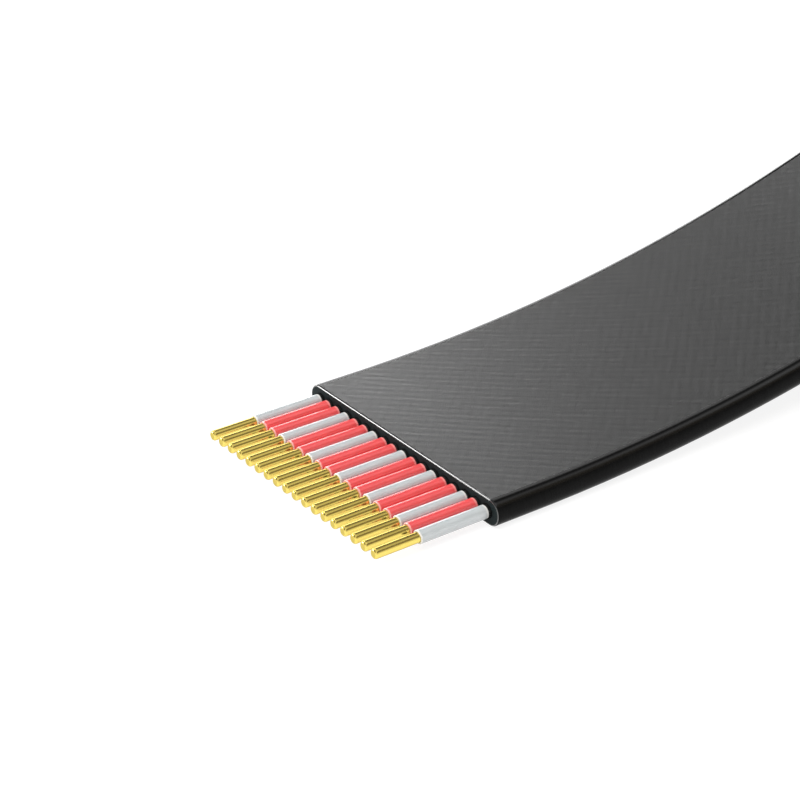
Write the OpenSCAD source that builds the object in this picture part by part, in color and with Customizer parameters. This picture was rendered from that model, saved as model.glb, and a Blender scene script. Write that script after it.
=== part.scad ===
// Flat card-edge extension cable: a row of insulated solid wires in one flat black jacket.
// One end is cut and stripped, with bare conductors. The other end carries a one-lane card-edge plug.
// Frame: +X along the cable towards the plug, +Y across it, +Z up from the surface that it lies on.
// The origin is the middle of the flat stretch at the cut end, on that surface. Sizes in millimetres.

/* [Wires] */
// Number of wires in the row, one for each contact on a side of the card edge
wire_count = 18; // [12:1:22]
// Distance between neighbouring wires
wire_pitch = 1.0; // [0.92:0.02:1.4]
// Diameter of the solid conductor
core_d = 0.65; // [0.4:0.05:0.75]
// Diameter of the coloured insulation
insulation_d = 0.86; // [0.76:0.02:0.92]
// One wire in this many is a white return wire, and the last wire is white too
return_every = 3; // [2:1:6]

/* [Jacket] */
// Thickness of the flat jacket
jacket_t = 1.75; // [1.4:0.05:2.6]
// From the outermost wire's centre to the jacket's side
jacket_side = 1.1; // [0.8:0.05:2.5]
// Upright flat that is left on each side, between the rounded long edges
jacket_flat = 0.05; // [0.02:0.01:0.6]

/* [Stripped end] */
// Insulated wire that stands out of the cut jacket
strip_insulated = 5.0; // [2:0.1:15]
// Bare conductor that stands out of the insulation
strip_bare = 3.1; // [1:0.1:10]
// Rounding of the conductor's cut tip
tip_round = 0.1; // [0.02:0.01:0.18]

/* [Route] */
// Flat stretch that lies on the surface at the cut end
flat_l = 3.0; // [1:0.5:20]
// Radius of the upward bend
rise_r = 134; // [80:1:200]
// Angle of the upward bend
rise_angle = 18; // [15:0.5:24]
// Radius over the crest
crest_r = 60; // [30:1:80]
// Angle of the way down to the plug
land_angle = 20; // [14:0.5:24]
// Straight stretch before the plug's cover
lead_l = 11; // [1:0.5:40]

/* [Ends inside the plug] */
// Jacket inside the cover
jacket_in = 3.0; // [2.4:0.1:6]
// Insulated wire past the jacket's end
insulation_past = 1.5; // [0.5:0.1:4]
// Bare conductor past the insulation, on its pad
core_past = 2.6; // [1.2:0.1:4]

/* [Plug board] */
// Thickness of the board
board_t = 1.57; // [1.2:0.01:1.8]
// Gap between the insulation's end and the board's rear edge
board_gap = 0.2; // [0.1:0.05:1]
// Length of the board's body inside the cover
board_body_l = 9.0; // [7.5:0.1:14]
// How far the board's body is wider than the tongue, at each side
board_shoulder = 0.8; // [0.4:0.1:2]
// Tongue that stands out of the cover
tongue_out = 8.5; // [7.6:0.1:12]
// Length of the bevel at the tongue's edge
bevel_l = 1.1; // [0.4:0.1:1.6]
// Depth of the bevel from each face
bevel_h = 0.4; // [0.1:0.05:0.55]
// Corner cut at each side of the tongue
corner_cut = 0.5; // [0.1:0.1:0.5]
// Width of the key notch
key_w = 1.9; // [1.5:0.1:2.0]
// Depth of the key notch from the tongue's edge
key_depth = 7.0; // [5:0.1:7.5]

/* [Contacts] */
// Distance between contacts
contact_pitch = 1.0; // [0.9:0.05:1.2]
// Width of a contact
contact_w = 0.7; // [0.5:0.05:0.8]
// Length of a contact
contact_l = 4.6; // [3:0.1:5]
// Thickness of the plated contacts and pads
plating_t = 0.05; // [0.03:0.01:0.1]
// How much shorter the card-present contact is, one on each side
contact_short = 1.2; // [0.2:0.1:2]
// Contacts on the longer side of the key
contacts_before_key = 11; // [6:1:11]
// Distance between the two contacts beside the key
key_span = 3.0; // [2.8:0.1:4]
// From the first contact's centre to the tongue's side
tongue_margin_first = 1.1; // [0.5:0.05:2]
// From the last contact's centre to the tongue's side
tongue_margin_last = 0.55; // [0.5:0.05:2]

/* [Solder] */
// Width of a solder pad
pad_w = 0.76; // [0.5:0.02:0.84]
// How far a solder pad reaches past its conductor's tip
pad_past = 1.0; // [0.2:0.1:1.2]
// From the board's rear edge to the pads
pad_edge = 0.2; // [0.1:0.05:0.3]
// Thickness of the solder round the conductor
solder_t = 0.05; // [0.03:0.01:0.09]
// Conductor's tip that is left clear of solder
solder_tip = 0.2; // [0.1:0.05:0.5]

/* [Cover] */
// Floor of the lower cover under the board
floor_t = 1.2; // [1:0.05:3]
// Roof of the upper cover over the jacket
roof_t = 1.2; // [0.8:0.05:3]
// Side walls of the cover
side_wall = 1.4; // [1.2:0.1:4]
// Front wall round the tongue
front_wall = 1.5; // [0.8:0.1:4]
// Rear wall round the jacket
rear_wall = 2.0; // [1:0.1:2.3]
// Radius of the cover's upright corners
cover_corner_r = 1.6; // [0.5:0.1:2.5]
// Radius of the upper cover's long edges
cover_edge_r = 1.2; // [0.4:0.1:1.8]
// Chamfer of the lower cover's long edges
cover_chamfer = 0.4; // [0.1:0.1:0.8]
// Number of upright grip grooves on each side
grip_count = 6; // [1:1:8]
// Distance between grip grooves
grip_pitch = 1.5; // [1:0.1:1.6]
// Radius of a grip groove
grip_r = 0.4; // [0.2:0.05:0.45]
// Diameter of the pins that hold the two covers together
pin_d = 1.4; // [1:0.1:1.8]
// Depth of a pin in the lower cover's floor
pin_depth = 0.7; // [0.4:0.05:0.8]
// From the middle of the cover to each pin
pin_y = 8.0; // [5:0.1:9]
// From the front wall back to the pins
pin_back = 2.2; // [1.2:0.1:3]

/* [Fits] */
// Radial room between conductor and insulation
core_fit = 0.01; // [0.005:0.005:0.02]
// Radial room between insulation and jacket
wire_fit = 0.01; // [0.005:0.005:0.02]
// Room under a conductor on its pad, and between it and its solder
solder_fit = 0.01; // [0.005:0.005:0.02]
// Room round the jacket in the cover's slot
slot_fit = 0.05; // [0.02:0.01:0.15]
// Room round the board in the lower cover
board_fit = 0.05; // [0.02:0.01:0.15]
// Radial room round a pin in the board and in the lower cover
pin_fit = 0.05; // [0.02:0.01:0.1]

/* [Hidden] */
$fn = 48;
core_r = core_d / 2;
insulation_r = insulation_d / 2;
row_w = (wire_count - 1) * wire_pitch;
jacket_w = row_w + 2 * jacket_side;
jacket_edge_r = (jacket_t - jacket_flat) / 2;

// Heights: the wires' plane at the cut end, and at the plug, where the conductors lie on the board's pads
wire_z = jacket_t / 2;
board_top = floor_t + board_t;
plug_wire_z = board_top + plating_t + solder_fit + core_r;
cover_top = plug_wire_z + jacket_t / 2 + slot_fit + roof_t;

// Route in the X-Z plane: flat, up, over the crest, down and level into the plug
flat_start = -flat_l / 2;
flat_end = flat_l / 2;
crest_z = wire_z + (rise_r + crest_r) * (1 - cos(rise_angle));
land_sum = (crest_z - plug_wire_z) / (1 - cos(land_angle));
land_r = round((land_sum - crest_r) * 1000) / 1000;
rise_c = [flat_end, wire_z + rise_r];
crest_c = rise_c + (rise_r + crest_r) * [sin(rise_angle), -cos(rise_angle)];
land_c = crest_c + (crest_r + land_r) * [sin(land_angle), cos(land_angle)];
land_end = land_c - [0, land_r];

// Places along the plug, from the cover's rear face
plug_x = round((land_end.x + lead_l) * 100) / 100;
insulation_end = jacket_in + insulation_past;
core_end = insulation_end + core_past;
board_start = insulation_end + board_gap;
body_end = board_start + board_body_l;
cover_l = body_end + board_fit + front_wall;
tongue_tip = cover_l + tongue_out;
pad_start = board_start + pad_edge;
pad_end = core_end + pad_past;
cavity_end = pad_end + pad_edge;
pin_x = body_end - pin_back;

// Widths of the plug
contact_row = (wire_count - 2) * contact_pitch + key_span;
tongue_w = tongue_margin_first + contact_row + tongue_margin_last;
body_w = max(tongue_w, row_w + pad_w) + 2 * board_shoulder;
cover_w = max(body_w + 2 * board_fit, jacket_w + 2 * slot_fit) + 2 * side_wall;

function two_digits(i) = str(i < 10 ? "0" : "", i);
function wire_y(i) = row_w / 2 - (i - 1) * wire_pitch;
function is_return(i) = (i - 1) % return_every == 0 || i == wire_count;
function after_key(i) = i > contacts_before_key;
function contact_y(i) = tongue_w / 2 - tongue_margin_first - (i - 1) * contact_pitch
    - (after_key(i) ? key_span - contact_pitch : 0);
key_y = (contact_y(contacts_before_key) + contact_y(contacts_before_key + 1)) / 2;

wires = [for (i = [1:wire_count]) i];
// The card-present contact is the last but one on the upper face, and the first on the lower face
short_upper = wire_count - 1;
short_lower = 1;

plug_nodes = ["plug_board", "upper_contacts", "lower_contacts", "solder_pads", "solder_joints",
    "lower_cover", "upper_cover"];

gold = "#d8a52c";
red = "#f8565b";
white = "#c9cdd3";
black = "#2b2b2d";
green = "#1f4d35";
tin = "#b9bcc0";

// Puts its children at a point of the route, by a move in hundredths and the small rest of it
module at_point(p) {
  near = [round(p.x * 100) / 100, round(p.y * 100) / 100];
  rest = p - near;
  translate([near.x, 0, near.y])
    translate([rest.x, 0, rest.y])
      children();
}

// A straight stretch along +X of the section that its children draw
module stretch(length) {
  rotate([90, 0, 90])
    linear_extrude(length)
      children();
}

// A bend of that section round an axis along Y
module bend(centre, radius, from, turn) {
  at_point(centre)
    rotate([90, 0, 0])
      rotate_extrude(start = from, angle = turn)
        translate([radius, 0])
          rotate(90)
            children();
}

// The whole route, from before_cut ahead of the cut to past_cover behind the cover's rear face
module route(before_cut, past_cover) {
  translate([flat_start - before_cut, 0, wire_z])
    stretch(before_cut + flat_l)
      children();
  bend(rise_c, rise_r, 270, rise_angle)
    children();
  bend(crest_c, crest_r, 90 - land_angle, land_angle + rise_angle)
    children();
  bend(land_c, land_r, 270 - land_angle, land_angle)
    children();
  at_point(land_end)
    stretch(plug_x + past_cover - land_end.x)
      children();
}

module rounded_section(w, h, r) {
  square([w - 2 * r, h], center = true);
  square([w, h - 2 * r], center = true);
  for (sx = [-1, 1], sy = [-1, 1])
    translate([sx * (w / 2 - r), sy * (h / 2 - r)])
      circle(r);
}

module jacket_section(room = 0) {
  rounded_section(jacket_w + 2 * room, jacket_t + 2 * room, jacket_edge_r + room);
}

// Cut tip of a conductor, with its rim rounded
module rounded_tip() {
  inner = core_r - tip_round;
  rotate([0, 90, 0])
    rotate_extrude() {
      square([inner, tip_round]);
      translate([inner, tip_round])
        intersection() {
          circle(tip_round);
          translate([0, -tip_round])
            square(tip_round);
        }
    }
}

module core(i) {
  tip = strip_insulated + strip_bare;
  color(gold)
    translate([0, wire_y(i), 0]) {
      translate([flat_start - tip, 0, wire_z])
        rounded_tip();
      route(tip - tip_round, core_end)
        circle(core_r);
    }
}

module insulation(i) {
  color(is_return(i) ? white : red)
    translate([0, wire_y(i), 0])
      route(strip_insulated, insulation_end)
        difference() {
          circle(insulation_r);
          circle(core_r + core_fit);
        }
}

module jacket() {
  color(black)
    route(0, jacket_in)
      difference() {
        jacket_section();
        for (i = wires)
          translate([wire_y(i), 0])
            circle(insulation_r + wire_fit);
      }
}

// Board seen from above: the body in the cover, and the tongue with its key notch
module board_outline() {
  key_r = key_w / 2;
  difference() {
    union() {
      translate([board_start, -body_w / 2])
        square([board_body_l, body_w]);
      polygon([
        [body_end - board_shoulder, -tongue_w / 2],
        [tongue_tip - corner_cut, -tongue_w / 2],
        [tongue_tip, -tongue_w / 2 + corner_cut],
        [tongue_tip, tongue_w / 2 - corner_cut],
        [tongue_tip - corner_cut, tongue_w / 2],
        [body_end - board_shoulder, tongue_w / 2]
      ]);
    }
    translate([tongue_tip - key_depth + key_r, key_y])
      circle(key_r);
    translate([tongue_tip - key_depth + key_r, key_y - key_r])
      square([key_depth, key_w]);
    for (side = [-1, 1])
      translate([pin_x, side * pin_y])
        circle(pin_d / 2 + pin_fit);
  }
}

// Board seen from the side, bevelled at the tongue's edge
module board_side() {
  polygon([
    [board_start, 0],
    [tongue_tip - bevel_l, 0],
    [tongue_tip, bevel_h],
    [tongue_tip, board_t - bevel_h],
    [tongue_tip - bevel_l, board_t],
    [board_start, board_t]
  ]);
}

module plug_board() {
  color(green)
    translate([plug_x, 0, floor_t])
      intersection() {
        linear_extrude(board_t)
          board_outline();
        translate([0, body_w / 2, 0])
          rotate([90, 0, 0])
            linear_extrude(body_w)
              board_side();
      }
}

// A row of plated contacts that ends at the tongue's bevel, one of them shorter
module contact_row_at(z, short_one) {
  color(gold)
    for (i = wires) {
      back = i == short_one ? contact_short : 0;
      translate([plug_x + tongue_tip - bevel_l - contact_l, contact_y(i) - contact_w / 2, z])
        cube([contact_l - back, contact_w, plating_t]);
    }
}

module upper_contacts() {
  contact_row_at(board_top, short_upper);
}

module lower_contacts() {
  contact_row_at(floor_t - plating_t, short_lower);
}

module solder_pads() {
  color(gold)
    for (i = wires)
      translate([plug_x + pad_start, wire_y(i) - pad_w / 2, board_top])
        cube([pad_end - pad_start, pad_w, plating_t]);
}

// Solder over a conductor, from its top down to both edges of its pad
module solder_section() {
  axis_z = core_r + solder_fit;
  outer_r = core_r + solder_t;
  difference() {
    union() {
      translate([0, axis_z])
        circle(outer_r);
      polygon([[-pad_w / 2, 0], [pad_w / 2, 0], [outer_r, axis_z], [-outer_r, axis_z]]);
    }
    translate([0, axis_z])
      circle(core_r + solder_fit);
    // What would reach below the pad's face
    translate([-outer_r, -outer_r])
      square([2 * outer_r, outer_r]);
    // The line along which the conductor lies on the pad
    translate([-core_r / 2, 0])
      square([core_r, axis_z]);
  }
}

module solder_joints() {
  color(tin)
    for (i = wires)
      translate([plug_x + pad_start, wire_y(i), board_top + plating_t])
        stretch(core_end - solder_tip - pad_start)
          solder_section();
}

module cover_outline() {
  translate([cover_l / 2, 0])
    rounded_section(cover_l, cover_w, cover_corner_r);
}

// Upright half-round grooves along both sides, for the fingers that pull the plug out
module grip_grooves() {
  first = (cover_l - (grip_count - 1) * grip_pitch) / 2;
  for (side = [-1, 1], k = [0:grip_count - 1])
    translate([first + k * grip_pitch, side * cover_w / 2, 0])
      cylinder(h = cover_top, r = grip_r);
}

// Slot that the jacket passes through, along +X
module jacket_slot(length) {
  translate([0, 0, plug_wire_z])
    stretch(length)
      jacket_section(slot_fit);
}

// Room for the wires' ends, from the rear wall to before the pins
module wire_room(from, to) {
  h = jacket_t + 2 * slot_fit;
  w = jacket_w + 2 * slot_fit;
  translate([from, -w / 2, plug_wire_z - h / 2])
    cube([to - from, w, h]);
}

module lower_cover() {
  pocket_w = body_w + 2 * board_fit;
  slot_w = tongue_w + 2 * board_fit;
  color(black)
    translate([plug_x, 0, 0])
      difference() {
        intersection() {
          linear_extrude(board_top)
            cover_outline();
          stretch(cover_l)
            polygon([
              [-cover_w / 2 + cover_chamfer, 0],
              [cover_w / 2 - cover_chamfer, 0],
              [cover_w / 2, cover_chamfer],
              [cover_w / 2, board_top],
              [-cover_w / 2, board_top],
              [-cover_w / 2, cover_chamfer]
            ]);
        }
        grip_grooves();
        jacket_slot(rear_wall);
        wire_room(rear_wall, board_start);
        translate([board_start - board_fit, -pocket_w / 2, floor_t])
          cube([board_body_l + 2 * board_fit, pocket_w, board_t]);
        translate([body_end, -slot_w / 2, floor_t])
          cube([cover_l - body_end, slot_w, board_t]);
        for (side = [-1, 1])
          translate([pin_x, side * pin_y, floor_t - pin_depth])
            cylinder(h = pin_depth, d = pin_d + 2 * pin_fit);
      }
}

// Upper cover's section across the plug: flat roof with rounded long edges
module roof_section() {
  h = cover_top - board_top;
  r = cover_edge_r;
  translate([-cover_w / 2, 0])
    square([cover_w, h - r]);
  translate([-cover_w / 2 + r, 0])
    square([cover_w - 2 * r, h]);
  for (side = [-1, 1])
    translate([side * (cover_w / 2 - r), h - r])
      circle(r);
}

module upper_cover() {
  pin_reach = board_t + pin_depth - pin_fit;
  color(black)
    translate([plug_x, 0, 0]) {
      difference() {
        intersection() {
          translate([0, 0, board_top])
            linear_extrude(cover_top - board_top)
              cover_outline();
          translate([0, 0, board_top])
            stretch(cover_l)
              roof_section();
        }
        grip_grooves();
        jacket_slot(rear_wall);
        wire_room(rear_wall, cavity_end);
      }
      for (side = [-1, 1])
        translate([pin_x, side * pin_y, board_top - pin_reach])
          cylinder(h = pin_reach, d = pin_d);
    }
}

for (i = wires) {
  core(i);
  insulation(i);
}
jacket();
plug_board();
upper_contacts();
lower_contacts();
solder_pads();
solder_joints();
lower_cover();
upper_cover();
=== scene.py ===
"""Looks of a flat card-edge extension cable with a cut and stripped end.

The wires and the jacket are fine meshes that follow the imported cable's route.
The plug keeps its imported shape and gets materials.
"""
import math
from collections import namedtuple

import bmesh
import bpy
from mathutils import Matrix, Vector
from mathutils.geometry import tessellate_polygon


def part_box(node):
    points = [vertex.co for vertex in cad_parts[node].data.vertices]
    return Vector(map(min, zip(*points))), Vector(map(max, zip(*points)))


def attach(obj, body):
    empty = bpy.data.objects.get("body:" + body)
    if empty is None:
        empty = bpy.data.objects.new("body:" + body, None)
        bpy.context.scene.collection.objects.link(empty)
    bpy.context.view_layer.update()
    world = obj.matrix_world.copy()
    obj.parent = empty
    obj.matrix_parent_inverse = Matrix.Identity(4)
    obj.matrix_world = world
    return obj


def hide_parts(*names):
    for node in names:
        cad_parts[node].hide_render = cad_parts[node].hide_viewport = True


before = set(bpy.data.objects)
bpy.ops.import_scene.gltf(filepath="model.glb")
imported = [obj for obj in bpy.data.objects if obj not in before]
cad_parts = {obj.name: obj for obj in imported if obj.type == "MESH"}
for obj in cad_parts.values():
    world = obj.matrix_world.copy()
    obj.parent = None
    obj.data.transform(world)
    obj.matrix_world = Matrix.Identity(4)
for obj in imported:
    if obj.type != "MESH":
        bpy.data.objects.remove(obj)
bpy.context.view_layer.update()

# Sizes, in metres
MM = 0.001
WIRE_COUNT = 18
WHITE_EVERY = 3
TIP_ROUND = 0.16 * MM
SLEEVE_ROUND = 0.05 * MM
CUT_ROUND = 0.10 * MM
MOUTH_FLARE = 0.05 * MM
MOUTH_DEPTH = 0.12 * MM
WIRE_FIT = 0.01 * MM
JACKET_FLAT = 0.05 * MM

# Marks on the wires: depths from an end, and places along the cable where the cut is 0
SHEARED_DEPTH = 0.03 * MM
# The pale marks are painted highlights, and the dark one is painted shade where the wires enter the jacket
PAINTED_HIGHLIGHT_DEPTH = 0.12 * MM
PAINTED_HIGHLIGHT_BAND = (-0.36 * MM, -0.26 * MM)
PAINTED_SHADE_BAND = (-0.22 * MM, -0.16 * MM)

# Weave of the jacket's faces. Each set has its turn and the strengths of its threads and loose fibres
WEAVE_PITCH = 0.634 * MM
WEAVE_TURN = math.radians(47)
WEAVE_SETS = ((WEAVE_TURN, 0.27, 0.7), (-WEAVE_TURN, 0.36, 0.6))
SLUBS_PER_METRE = 600
FIBRES_PER_METRE = 1000
FIBRES_PER_THREAD = 2.2

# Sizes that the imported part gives
jacket_low, jacket_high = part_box("jacket")
sleeve_low, sleeve_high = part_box("insulation_01")
core_low, core_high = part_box("core_01")
first_y = (core_low.y + core_high.y) / 2
WIRE_PITCH = 2 * first_y / (WIRE_COUNT - 1)
CORE_R = (core_high.y - core_low.y) / 2
SLEEVE_R = (sleeve_high.y - sleeve_low.y) / 2
JACKET_W = jacket_high.y - jacket_low.y
WIRE_Z = core_low.z + CORE_R
JACKET_T = 2 * WIRE_Z
CUT_X = jacket_low.x
COVER_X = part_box("lower_cover")[0].x

# Route of the cable in the X-Z plane: flat, up, over the crest, and down to level at the plug
FLAT_L = 3.0 * MM
RISE_R = 134 * MM
RISE_ANGLE = math.radians(18)
CREST_R = 60 * MM
LAND_ANGLE = math.radians(20)
PLUG_WIRE_Z = 3.155 * MM
crest_z = WIRE_Z + (RISE_R + CREST_R) * (1 - math.cos(RISE_ANGLE))
LAND_R = (crest_z - PLUG_WIRE_Z) / (1 - math.cos(LAND_ANGLE)) - CREST_R
BENDS = [
    (FLAT_L, 0.0),
    (RISE_R * RISE_ANGLE, 1 / RISE_R),
    (CREST_R * (RISE_ANGLE + LAND_ANGLE), -1 / CREST_R),
    (LAND_R * LAND_ANGLE, 1 / LAND_R),
]

# Camera, fitted to the photograph
IMAGE_PX = 800
FOCAL_PX = 2217.6
SENSOR = 36.0
VIEW_AZIMUTH = math.radians(53.8394)
VIEW_ELEVATION = math.radians(27.8946)
VIEW_DEPTH = 134.43 * MM
CUT_PIXEL = (400.1328, 452.7711)
CLIP_START = 5 * MM
CLIP_END = 10.0

# Floor and lamps, in metres
FLOOR_HALF = 3.0
FLOOR_DROP = 0.02 * MM
LAMP_DISTANCE = 0.8

# Fineness of the meshes. HOLD is the gap to the points that keep a rounding's shading to itself,
# and a stretch of the jacket's section that rises less than LEVEL_LIMIT is level
HOLD = 0.06 * MM
LEVEL_LIMIT = 0.005 * MM
STATION_STEP = 2.0 * MM
WIRE_SEGMENTS = 40
CHANNEL_SEGMENTS = 28
SIDE_SEGMENTS = 10
ROUND_STEPS = 6

# Materials of the jacket, in turn
FACE, SIDE, RIM, CUT = range(4)


def advance(x, z, slope, length, curvature):
    """Moves along an arc, or a straight line where the curvature is 0."""
    if curvature == 0:
        return x + length * math.cos(slope), z + length * math.sin(slope), slope
    turned = slope + curvature * length
    x += (math.sin(turned) - math.sin(slope)) / curvature
    z += (math.cos(slope) - math.cos(turned)) / curvature
    return x, z, turned


def place(s, across=0.0, above=0.0):
    """A point of the cable: s along its middle line from the cut, then across it and above it."""
    x, z, slope = CUT_X, WIRE_Z, 0.0
    left = s
    for length, curvature in BENDS:
        part = min(left, length)
        x, z, slope = advance(x, z, slope, part, curvature)
        left -= part
    x += left
    return Vector((x - math.sin(slope) * above, across, z + math.cos(slope) * above))


bend_length = sum(length for length, curvature in BENDS)
bend_end_x = place(bend_length).x


def along(x):
    """How far along the cable a point of the straight ends lies."""
    return x - CUT_X if x < CUT_X else bend_length + x - bend_end_x


JACKET_END = along(jacket_high.x)
COVER_AT = along(COVER_X)
SLEEVE_START = along(sleeve_low.x)
SLEEVE_END = along(sleeve_high.x)
CORE_START = along(core_low.x)
CORE_END = along(core_high.x)


def stations(start, end):
    """Evenly spaced places along the cable, with both ends."""
    count = max(1, round((end - start) / STATION_STEP))
    return [start + (end - start) * k / count for k in range(count + 1)]


def wire_y(i):
    return first_y - (i - 1) * WIRE_PITCH


def is_white(i):
    return (i - 1) % WHITE_EVERY == 0 or i == WIRE_COUNT


Ring = namedtuple("Ring", "s numbers turns")


class Draft:
    """Points and faces of one piece. Each face has texture coordinates, a material and its shading."""

    def __init__(self):
        self.points = []
        self.faces = []
        self.corners = []
        self.slots = []
        self.smooth = []

    def ring(self, s, loop, turns):
        """A closed loop of (across, above) points at s. turns has one value more, for the way round."""
        first = len(self.points)
        self.points += [place(s, across, above) for across, above in loop]
        return Ring(s, list(range(first, len(self.points))), turns)

    def face(self, numbers, corners, slot=0, smooth=True):
        self.faces.append(numbers)
        self.corners.append(corners)
        self.slots.append(slot)
        self.smooth.append(smooth)

    def bridge(self, a, b, slots=None):
        """Faces between two rings, each with the material that slots gives for its place in the loop."""
        count = len(a.numbers)
        for k in range(count):
            n = (k + 1) % count
            numbers = (a.numbers[k], a.numbers[n], b.numbers[n], b.numbers[k])
            corners = [
                (a.s, a.turns[k]),
                (a.s, a.turns[k + 1]),
                (b.s, b.turns[k + 1]),
                (b.s, b.turns[k]),
            ]
            self.face(numbers, corners, slots[k] if slots else 0)

    def cap(self, ring, holes=(), slot=0):
        """A flat end on a ring, with a hole for each ring in holes."""
        loops = [ring, *holes]
        numbers = [n for loop in loops for n in loop.numbers]
        outlines = [[self.points[n] for n in loop.numbers] for loop in loops]
        for triangle in tessellate_polygon(outlines):
            chosen = [numbers[t] for t in triangle]
            self.face(chosen, [(ring.s, self.points[n].y) for n in chosen], slot, smooth=False)

    def make(self, name, materials):
        mesh = bpy.data.meshes.new(name)
        mesh.from_pydata(self.points, [], self.faces)
        for material in materials:
            mesh.materials.append(material)
        layer = mesh.uv_layers.new(name="cable")
        layer.data.foreach_set("uv", [v for face in self.corners for uv in face for v in uv])
        mesh.polygons.foreach_set("material_index", self.slots)
        mesh.polygons.foreach_set("use_smooth", self.smooth)
        work = bmesh.new()
        work.from_mesh(mesh)
        bmesh.ops.recalc_face_normals(work, faces=work.faces)
        work.to_mesh(mesh)
        work.free()
        piece = bpy.data.objects.new(name, mesh)
        bpy.context.collection.objects.link(piece)
        return piece


class Look:
    """A material with a Principled shader, and the nodes that feed it."""

    def __init__(self, name, **sockets):
        self.material = bpy.data.materials.new(name)
        self.material.use_nodes = True
        self.tree = self.material.node_tree
        self.shader = self.tree.nodes["Principled BSDF"]
        self.set(**sockets)

    def set(self, **sockets):
        """Sets sockets of the shader: an underscore stands for a space."""
        for name, value in sockets.items():
            self.shader.inputs[name.replace("_", " ")].default_value = value

    def node(self, kind, **settings):
        made = self.tree.nodes.new("ShaderNode" + kind)
        for name, value in settings.items():
            setattr(made, name, value)
        return made

    def feed(self, target, value):
        """Gives a socket a value, or links another node's output to it."""
        if isinstance(value, bpy.types.NodeSocket):
            self.tree.links.new(value, target)
        else:
            target.default_value = value

    def use(self, socket, value):
        self.feed(self.shader.inputs[socket], value)

    def uv(self):
        return self.node("UVMap", uv_map="cable").outputs["UV"]

    def spot(self):
        """The place in the part's own frame."""
        return self.node("TexCoord").outputs["Object"]

    def split(self, vector):
        made = self.node("SeparateXYZ")
        self.feed(made.inputs[0], vector)
        return made.outputs

    def from_cut(self):
        """Distance along the cable from the cut, less than 0 on the stripped wires."""
        return self.split(self.uv())[0]

    def levelness(self):
        """1 where the surface faces straight up or down, 0 where it is upright."""
        normal = self.node("NewGeometry").outputs["Normal"]
        return self.math("ABSOLUTE", self.split(normal)[2])

    def mapped(self, vector, scale, turn=0.0):
        made = self.node("Mapping")
        self.feed(made.inputs["Vector"], vector)
        made.inputs["Scale"].default_value = scale
        made.inputs["Rotation"].default_value[2] = turn
        return made.outputs[0]

    def noise(self, vector, scale, detail=3.0):
        made = self.node("TexNoise")
        self.feed(made.inputs["Vector"], vector)
        made.inputs["Scale"].default_value = scale
        made.inputs["Detail"].default_value = detail
        return made.outputs["Fac"]

    def math(self, operation, a, b=0.0):
        made = self.node("Math", operation=operation)
        self.feed(made.inputs[0], a)
        self.feed(made.inputs[1], b)
        return made.outputs[0]

    def spread(self, value, start, end, low=0.0, high=1.0):
        """Maps start..end of a value smoothly to low..high."""
        made = self.node("MapRange", interpolation_type="SMOOTHSTEP")
        self.feed(made.inputs["Value"], value)
        made.inputs["From Min"].default_value = start
        made.inputs["From Max"].default_value = end
        made.inputs["To Min"].default_value = low
        made.inputs["To Max"].default_value = high
        return made.outputs["Result"]

    def blend(self, share, a, b):
        """Mixes colour a to colour b."""
        made = self.node("Mix", data_type="RGBA")
        self.feed(made.inputs["Factor"], share)
        self.feed(made.inputs[6], a)
        self.feed(made.inputs[7], b)
        return made.outputs[2]

    def bump(self, height, distance, strength=1.0):
        made = self.node("Bump")
        self.feed(made.inputs["Height"], height)
        made.inputs["Distance"].default_value = distance
        made.inputs["Strength"].default_value = strength
        self.use("Normal", made.outputs[0])


def grey(level):
    return (level, level, level, 1.0)


def conductor_look():
    """Bright gold-coloured solid wire, with fine lines along it from drawing and a duller sheared end."""
    look = Look("conductor", Metallic=0.9, Specular_Tint=grey(0.45))
    lines = look.noise(look.mapped(look.uv(), (60, 9000, 1)), 1.0, 2.0)
    sheared = look.spread(look.from_cut(), CORE_START, CORE_START + SHEARED_DEPTH, 1.0, 0.0)
    drawn = look.blend(lines, (0.9, 0.69, 0.155, 1), (0.95, 0.76, 0.21, 1))
    look.use("Base Color", look.blend(sheared, drawn, (0.7, 0.55, 0.13, 1)))
    drawn_roughness = look.spread(lines, 0.2, 0.8, 0.12, 0.18)
    look.use("Roughness", look.math("ADD", drawn_roughness, look.math("MULTIPLY", sheared, 0.25)))
    return look.material


def insulation_look(name, plain, deep, rim):
    """Satin wire insulation, a little mottled, with painted highlights at its cut end and in a band before
    the jacket, and painted shade where it enters the jacket.
    """
    look = Look(name, Specular_IOR_Level=1.0, IOR=1.7)
    from_cut = look.from_cut()
    mottle = look.noise(look.mapped(look.uv(), (700, 2500, 1)), 1.0, 3.0)
    skin = look.blend(look.spread(mottle, 0.3, 0.7), plain, deep)
    # Painted highlights in the rim colour: at the sleeve's cut end, and in a band before the jacket
    painted_end_highlight = look.spread(from_cut, SLEEVE_START, SLEEVE_START + PAINTED_HIGHLIGHT_DEPTH, 1.0, 0.0)
    painted_jacket_highlight = look.spread(from_cut, *PAINTED_HIGHLIGHT_BAND)
    painted_highlights = look.math("MAXIMUM", painted_end_highlight, look.math("MULTIPLY", painted_jacket_highlight, 0.6))
    # Painted shade, nearly black, on the wire just where it enters the jacket
    painted_shade = look.spread(from_cut, *PAINTED_SHADE_BAND)
    look.use("Base Color", look.blend(painted_shade, look.blend(painted_highlights, skin, rim), grey(0.008)))
    look.use("Roughness", look.spread(mottle, 0.2, 0.8, 0.23, 0.28))
    look.bump(mottle, 0.002 * MM, 0.2)
    return look.material


def red_insulation_look():
    return insulation_look(
        "insulation_red",
        plain=(0.815, 0.082, 0.087, 1),
        deep=(0.76, 0.068, 0.073, 1),
        # The rim colour is the colour of the painted highlights
        rim=(0.9, 0.36, 0.33, 1),
    )


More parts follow.
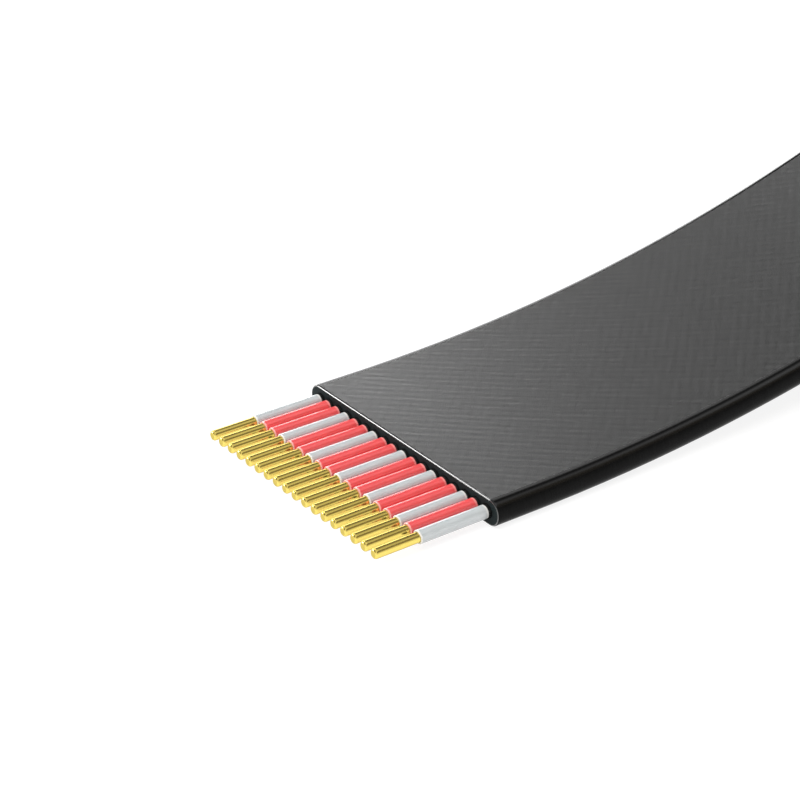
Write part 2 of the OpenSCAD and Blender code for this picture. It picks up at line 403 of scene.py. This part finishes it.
def white_insulation_look():
    return insulation_look(
        "insulation_white",
        plain=(0.52, 0.55, 0.56, 1),
        deep=(0.47, 0.5, 0.51, 1),
        # The rim colour is the colour of the painted highlights
        rim=(0.8, 0.785, 0.74, 1),
    )


def weave(look):
    """Threads across the cable both ways, stronger in some places, with loose fibres: a tone round 0.5."""
    total = 1.0
    for turn, thread_strength, fibre_strength in WEAVE_SETS:
        turned = look.mapped(look.uv(), (1, 1, 1), turn)
        phase = look.math("MULTIPLY", look.split(turned)[0], 2 * math.pi / WEAVE_PITCH)
        slubs = look.noise(look.mapped(turned, (1 / WEAVE_PITCH, SLUBS_PER_METRE, 1)), 1.0, 1.0)
        strength = look.spread(slubs, 0.34, 0.66, 0.1 * thread_strength, thread_strength)
        total = look.math("ADD", total, look.math("MULTIPLY", look.math("SINE", phase), strength))
        fineness = (FIBRES_PER_THREAD / WEAVE_PITCH, FIBRES_PER_METRE, 1)
        fibres = look.math("SUBTRACT", look.noise(look.mapped(turned, fineness), 1.0, 1.0), 0.5)
        total = look.math("ADD", total, look.math("MULTIPLY", fibres, fibre_strength))
    return look.math("MULTIPLY", total, 0.5)


def jacket_face_look():
    """Black satin faces with a fine woven texture."""
    look = Look("jacket_face", Specular_IOR_Level=1.0, IOR=1.7)
    look.set(Coat_Weight=1.0, Coat_IOR=1.8, Coat_Roughness=0.29)
    threads = weave(look)
    look.use("Base Color", look.blend(threads, grey(0.001), grey(0.037)))
    look.use("Roughness", look.spread(threads, 0.0, 1.0, 0.28, 0.33))
    look.bump(threads, 0.043 * MM, 0.5)
    return look.material


def jacket_side_look():
    """Smooth black sides, with a painted sheen where they run into the faces, and glossy in a band on the
    shoulders.
    """
    look = Look("jacket_side", Specular_IOR_Level=0.06, Coat_IOR=1.6, Coat_Roughness=0.2)
    specks = look.noise(look.uv(), 3000, 3.0)
    level = look.levelness()
    skin = look.blend(specks, grey(0.003), grey(0.006))
    # Painted sheen: a paler base colour where the side turns into the level faces
    look.use("Base Color", look.blend(look.spread(level, 0.95, 0.9995), skin, grey(0.055)))
    above_lower_edge = look.spread(level, 0.6, 0.76)
    below_upper_edge = look.spread(level, 0.86, 0.94, 1.0, 0.0)
    look.use("Coat Weight", look.math("MULTIPLY", above_lower_edge, below_upper_edge))
    look.use("Roughness", look.spread(specks, 0.2, 0.8, 0.22, 0.32))
    look.bump(specks, 0.004 * MM, 0.3)
    return look.material


def jacket_rim_look():
    """Glossy rounded rim that the blade left round the cut."""
    look = Look("jacket_rim", Specular_IOR_Level=1.0, Coat_Weight=1.0, Coat_Roughness=0.12)
    scuffs = look.noise(look.spot(), 2500, 3.0)
    look.use("Base Color", look.blend(scuffs, grey(0.006), grey(0.014)))
    look.use("Roughness", look.spread(scuffs, 0.2, 0.8, 0.12, 0.16))
    return look.material


def jacket_cut_look():
    """Matt face of the cut, with the faint lines that the blade left."""
    look = Look("jacket_cut", Specular_IOR_Level=0.1)
    lines = look.noise(look.mapped(look.spot(), (2000, 2500, 9000)), 1.0, 3.0)
    # The cool tint is painted in to cancel the red light that the wires throw onto the cut
    dark = (0.008, 0.0125, 0.013, 1)
    pale = (0.016, 0.0235, 0.0245, 1)
    look.use("Base Color", look.blend(look.spread(lines, 0.3, 0.7), dark, pale))
    look.use("Roughness", look.spread(lines, 0.2, 0.8, 0.5, 0.7))
    look.bump(lines, 0.01 * MM, 0.4)
    return look.material


def cover_look():
    """Black moulded plastic with a fine spark-eroded grain."""
    look = Look("cover", Specular_IOR_Level=0.4)
    grain = look.noise(look.spot(), 5200, 3.0)
    look.use("Base Color", look.blend(grain, grey(0.012), grey(0.022)))
    look.use("Roughness", look.spread(grain, 0.3, 0.7, 0.38, 0.55))
    look.bump(grain, 0.03 * MM, 0.5)
    return look.material


def board_look():
    """Green circuit board with the faint relief of tracks under its mask."""
    look = Look("board", Specular_IOR_Level=0.5)
    y = look.split(look.spot())[1]
    wave = look.math("SINE", look.math("MULTIPLY", y, 2 * math.pi / WIRE_PITCH))
    on_face = look.spread(look.levelness(), 0.97, 0.99)
    tracks = look.math("MULTIPLY", look.spread(wave, 0.0, 0.35), on_face)
    mottle = look.noise(look.spot(), 1500, 3.0)
    mask = look.blend(tracks, (0.012, 0.075, 0.04, 1), (0.02, 0.125, 0.065, 1))
    core = look.blend(mottle, (0.16, 0.19, 0.09, 1), (0.24, 0.26, 0.14, 1))
    look.use("Base Color", look.blend(on_face, core, mask))
    look.use("Roughness", look.spread(mottle, 0.3, 0.7, 0.3, 0.42))
    look.bump(tracks, 0.02 * MM, 0.5)
    return look.material


def plating_look():
    """Thin gold plating, lightly rubbed along the way that the plug slides."""
    look = Look("plating", Metallic=1.0)
    rub = look.noise(look.mapped(look.spot(), (300, 9000, 300)), 1.0, 3.0)
    look.use("Base Color", look.blend(rub, (0.82, 0.58, 0.17, 1), (0.90, 0.67, 0.26, 1)))
    look.use("Roughness", look.spread(rub, 0.25, 0.75, 0.25, 0.33))
    return look.material


def solder_look():
    """Bright solder with a faint frost."""
    look = Look("solder", Metallic=1.0)
    frost = look.noise(look.spot(), 4000, 4.0)
    look.use("Base Color", look.blend(frost, (0.52, 0.53, 0.55, 1), (0.72, 0.73, 0.75, 1)))
    look.use("Roughness", look.spread(frost, 0.3, 0.7, 0.2, 0.4))
    look.bump(frost, 0.02 * MM, 0.5)
    return look.material


def rounded_edge(start, rounding):
    """A quarter-round edge: (s, inset) from the end face to the full section."""
    edge = []
    for k in range(ROUND_STEPS + 1):
        turn = math.pi / 2 * (1 - k / ROUND_STEPS)
        edge.append((start + rounding * (1 - math.sin(turn)), rounding * (1 - math.cos(turn))))
    return edge


def wire_profile(start, end, radius, rounding):
    """Outside of a wire with a rounded front edge: (s, radius) from its front to its end."""
    front = [(s, radius - inset) for s, inset in rounded_edge(start, rounding)]
    return front + [(s, radius) for s in stations(start + rounding + HOLD, end)]


def wire_ring(draft, s, radius, y, segments):
    """A round ring at s, with the way round it in metres."""
    turns = [2 * math.pi * k / segments for k in range(segments + 1)]
    loop = [(y + radius * math.cos(t), radius * math.sin(t)) for t in turns[:-1]]
    return draft.ring(s, loop, [radius * t for t in turns])


def add_conductor(i, material):
    """Conductor of a wire: a rod with a rounded tip."""
    draft = Draft()
    profile = wire_profile(CORE_START, CORE_END, CORE_R, TIP_ROUND)
    rings = [wire_ring(draft, s, r, wire_y(i), WIRE_SEGMENTS) for s, r in profile]
    for a, b in zip(rings, rings[1:]):
        draft.bridge(a, b)
    draft.cap(rings[0])
    draft.cap(rings[-1])
    return draft.make(f"conductor_{i:02d}", [material])


def add_sleeve(i, material):
    """Insulation of a wire: a tube with a rounded front rim."""
    draft = Draft()
    outside = wire_profile(SLEEVE_START, SLEEVE_END, SLEEVE_R, SLEEVE_ROUND)
    inside = [(s, CORE_R + WIRE_FIT) for s in stations(SLEEVE_START, SLEEVE_END)]
    profile = outside + inside[::-1]
    rings = [wire_ring(draft, s, r, wire_y(i), WIRE_SEGMENTS) for s, r in profile]
    for a, b in zip(rings, rings[1:] + rings[:1]):
        draft.bridge(a, b)
    return draft.make(f"sleeve_{i:02d}", [material])


def jacket_loop(inset):
    """Section of the jacket, drawn in by inset: (across, above) points all round."""
    radius = (JACKET_T - JACKET_FLAT) / 2 - inset
    far = JACKET_W / 2 - inset - radius
    high = JACKET_FLAT / 2
    loop = []
    for quarter, (side, level) in enumerate(((1, 1), (-1, 1), (-1, -1), (1, -1))):
        for k in range(SIDE_SEGMENTS + 1):
            turn = math.pi / 2 * (quarter + k / SIDE_SEGMENTS)
            loop.append((side * far + radius * math.cos(turn), level * high + radius * math.sin(turn)))
        if side == level:
            face_height = level * (high + radius)
            loop.append((side * (far - HOLD), face_height))
            loop.append((side * (HOLD - far), face_height))
    return loop


def jacket_ring(draft, s, inset):
    """A ring of the jacket's section at s, with the place across the cable as its way round."""
    loop = jacket_loop(inset)
    places = [across for across, above in loop]
    return draft.ring(s, loop, places + places[:1])


def side_slots():
    """Material of each stretch round the jacket's section: woven on the two faces, smooth on the sides."""
    heights = [above for across, above in jacket_loop(0.0)]
    slots = []
    for here, there in zip(heights, heights[1:] + heights[:1]):
        is_level = abs(here - there) < LEVEL_LIMIT
        slots.append(FACE if is_level and abs(here) > JACKET_T / 4 else SIDE)
    return slots


def add_skin(draft):
    """Outside of the jacket, with a glossy rounded edge at the cut. Gives its first and last ring."""
    body = [(s, 0.0) for s in stations(CUT_ROUND + HOLD, JACKET_END)]
    profile = rounded_edge(0.0, CUT_ROUND) + body
    rings = [jacket_ring(draft, s, inset) for s, inset in profile]
    slots = side_slots()
    edge_slots = [RIM if slot == FACE else SIDE for slot in slots]
    for k, (a, b) in enumerate(zip(rings, rings[1:])):
        if k < ROUND_STEPS // 2:
            draft.bridge(a, b, [RIM] * len(slots))
        elif k < ROUND_STEPS:
            draft.bridge(a, b, edge_slots)
        else:
            draft.bridge(a, b, slots)
    return rings[0], rings[-1]


def add_channel(draft, i):
    """Channel of a wire in the jacket, a little wider at the cut. Gives its first and last ring."""
    radius = SLEEVE_R + WIRE_FIT
    profile = [(0.0, radius + MOUTH_FLARE)]
    profile += [(s, radius) for s in stations(MOUTH_DEPTH, JACKET_END)]
    rings = [wire_ring(draft, s, r, wire_y(i), CHANNEL_SEGMENTS) for s, r in profile]
    for a, b in zip(rings, rings[1:]):
        draft.bridge(a, b, [CUT] * CHANNEL_SEGMENTS)
    return rings[0], rings[-1]


def add_jacket(materials):
    """Flat jacket with a channel for each wire."""
    draft = Draft()
    front, back = add_skin(draft)
    channels = [add_channel(draft, i) for i in range(1, WIRE_COUNT + 1)]
    draft.cap(front, [mouth for mouth, end in channels], slot=CUT)
    draft.cap(back, [end for mouth, end in channels], slot=CUT)
    return draft.make("flat_jacket", materials)


def add_wires():
    """Conductors and insulations, from the far wire to the near one."""
    conductor = conductor_look()
    red = red_insulation_look()
    white = white_insulation_look()
    for i in range(1, WIRE_COUNT + 1):
        core = add_conductor(i, conductor)
        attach(core, "root")
        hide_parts(f"core_{i:02d}")
        # The photograph shows no clear image of one wire in the next
        core.visible_glossy = False
        sleeve = add_sleeve(i, white if is_white(i) else red)
        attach(sleeve, "root")
        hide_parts(f"insulation_{i:02d}")


def add_cable():
    """The jacket, built in place of the imported one."""
    looks = [jacket_face_look(), jacket_side_look(), jacket_rim_look(), jacket_cut_look()]
    jacket = add_jacket(looks)
    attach(jacket, "root")
    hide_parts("jacket")
    place(COVER_AT)
    [place(s) for s in reversed(stations(0.0, JACKET_END))]


def dress_plug():
    """Materials of the plug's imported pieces."""
    cover = cover_look()
    plating = plating_look()
    looks = {
        "lower_cover": cover,
        "upper_cover": cover,
        "plug_board": board_look(),
        "upper_contacts": plating,
        "lower_contacts": plating,
        "solder_pads": plating,
        "solder_joints": solder_look(),
    }
    for name, material in looks.items():
        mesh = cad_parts[name].data
        mesh.materials.clear()
        mesh.materials.append(material)


def direction(azimuth, elevation):
    """A unit vector: azimuth from +X towards +Y, then elevation."""
    flat = math.cos(elevation)
    return Vector((math.cos(azimuth) * flat, math.sin(azimuth) * flat, math.sin(elevation)))


def add_camera():
    """A camera that sees the middle of the cut where the photograph does."""
    ahead = direction(VIEW_AZIMUTH, -VIEW_ELEVATION)
    right = Vector((math.sin(VIEW_AZIMUTH), -math.cos(VIEW_AZIMUTH), 0.0))
    up = right.cross(ahead)
    px = VIEW_DEPTH / FOCAL_PX
    aside = (CUT_PIXEL[0] - IMAGE_PX / 2) * px
    down = (CUT_PIXEL[1] - IMAGE_PX / 2) * px
    data = bpy.data.cameras.new("camera")
    data.sensor_fit = "HORIZONTAL"
    data.sensor_width = SENSOR
    data.lens = FOCAL_PX / IMAGE_PX * SENSOR
    data.clip_start = CLIP_START
    data.clip_end = CLIP_END
    camera = bpy.data.objects.new("camera", data)
    camera.location = place(0.0) - VIEW_DEPTH * ahead - aside * right + down * up
    camera.rotation_mode = "QUATERNION"
    camera.rotation_quaternion = ahead.to_track_quat("-Z", "Y")
    bpy.context.collection.objects.link(camera)
    bpy.context.scene.camera = camera


def floor_look():
    """White where it is seen or mirrored, with the object's shadow, and pale where it only gives light."""
    look = Look("floor", Base_Color=grey(0.8), Roughness=1.0, Specular_IOR_Level=0.0)
    lit = look.shader
    seen = look.node("BsdfDiffuse")
    seen.inputs["Color"].default_value = grey(0.25)
    glow = look.node("Emission")
    glow.inputs["Color"].default_value = grey(1.0)
    glow.inputs["Strength"].default_value = 0.84
    both = look.node("AddShader")
    look.feed(both.inputs[0], seen.outputs[0])
    look.feed(both.inputs[1], glow.outputs[0])
    path = look.node("LightPath")
    first = look.math("MAXIMUM", path.outputs["Is Camera Ray"], path.outputs["Is Glossy Ray"])
    shown = look.math("MAXIMUM", first, path.outputs["Is Transmission Ray"])
    choice = look.node("MixShader")
    look.feed(choice.inputs[0], shown)
    look.feed(choice.inputs[1], lit.outputs[0])
    look.feed(choice.inputs[2], both.outputs[0])
    look.feed(look.tree.nodes["Material Output"].inputs["Surface"], choice.outputs[0])
    return look.material


def add_floor():
    mesh = bpy.data.meshes.new("floor")
    quarters = ((-1, -1), (1, -1), (1, 1), (-1, 1))
    corners = [(x * FLOOR_HALF, y * FLOOR_HALF, -FLOOR_DROP) for x, y in quarters]
    mesh.from_pydata(corners, [], [(0, 1, 2, 3)])
    mesh.materials.append(floor_look())
    floor = bpy.data.objects.new("floor", mesh)
    bpy.context.collection.objects.link(floor)


def add_ramp(tree, height, stops):
    """Colours by height of the direction, from (height, colour) pairs."""
    ramp = tree.nodes.new("ShaderNodeValToRGB")
    tree.links.new(height, ramp.inputs["Fac"])
    elements = ramp.color_ramp.elements
    while len(elements) < len(stops):
        elements.new(0.5)
    for element, (position, colour) in zip(elements, stops):
        element.position = position
        element.color = colour
    return ramp.outputs["Color"]


def add_world():
    """Studio surround: white at the horizon, dark half way up, warmer in front, and pale overhead."""
    world = bpy.data.worlds.new("studio")
    world.use_nodes = True
    tree = world.node_tree
    coordinates = tree.nodes.new("ShaderNodeTexCoord")
    split = tree.nodes.new("ShaderNodeSeparateXYZ")
    tree.links.new(coordinates.outputs["Generated"], split.inputs[0])
    white = grey(1.0)
    dim = grey(0.09)
    warm = (0.11, 0.085, 0.05, 1.0)
    back_stops = [(0.0, white), (0.18, white), (0.32, dim), (0.82, dim), (0.89, grey(0.54))]
    front_stops = [
        (0.0, white), (0.15, white), (0.58, warm),
        (0.77, warm), (0.83, grey(0.56)), (0.87, grey(0.8)),
    ]
    back = add_ramp(tree, split.outputs["Z"], back_stops)
    front = add_ramp(tree, split.outputs["Z"], front_stops)
    side = tree.nodes.new("ShaderNodeMapRange")
    side.inputs["From Min"].default_value = -0.25
    side.inputs["From Max"].default_value = 0.05
    tree.links.new(split.outputs["Y"], side.inputs["Value"])
    mix = tree.nodes.new("ShaderNodeMix")
    mix.data_type = "RGBA"
    tree.links.new(side.outputs["Result"], mix.inputs["Factor"])
    tree.links.new(front, mix.inputs[6])
    tree.links.new(back, mix.inputs[7])
    tree.links.new(mix.outputs[2], tree.nodes["Background"].inputs["Color"])
    bpy.context.scene.world = world


def add_softbox(name, azimuth, elevation, size, level, mirrored=True):
    """A lamp that looks at the cut end. At level 1 it is white, and mirrored shows it in reflections."""
    data = bpy.data.lights.new(name, "AREA")
    data.shape = "RECTANGLE"
    data.size, data.size_y = size
    data.energy = level * math.pi * size[0] * size[1]
    lamp = bpy.data.objects.new(name, data)
    out = direction(math.radians(azimuth), math.radians(elevation))
    lamp.location = out * LAMP_DISTANCE
    lamp.rotation_mode = "QUATERNION"
    lamp.rotation_quaternion = (-out).to_track_quat("-Z", "Y")
    lamp.visible_camera = False
    lamp.visible_glossy = mirrored
    bpy.context.collection.objects.link(lamp)


def add_lights():
    add_softbox("back_strip", 78, 10, (0.85, 0.26), 3.72)
    add_softbox("front_fill", 225, 35, (0.5, 0.5), 0.7)
    add_softbox("left_rim", 128, 18, (0.24, 0.3), 14.0)
    add_softbox("left_high", 85, 54, (0.3, 0.2), 4.0)
    add_softbox("overhead", 190, 74, (0.9, 0.9), 2.85, mirrored=False)


add_camera()
add_floor()
add_world()
add_lights()
add_cable()
add_wires()
dress_plug()
bpy.context.scene.view_settings.view_transform = "Standard"
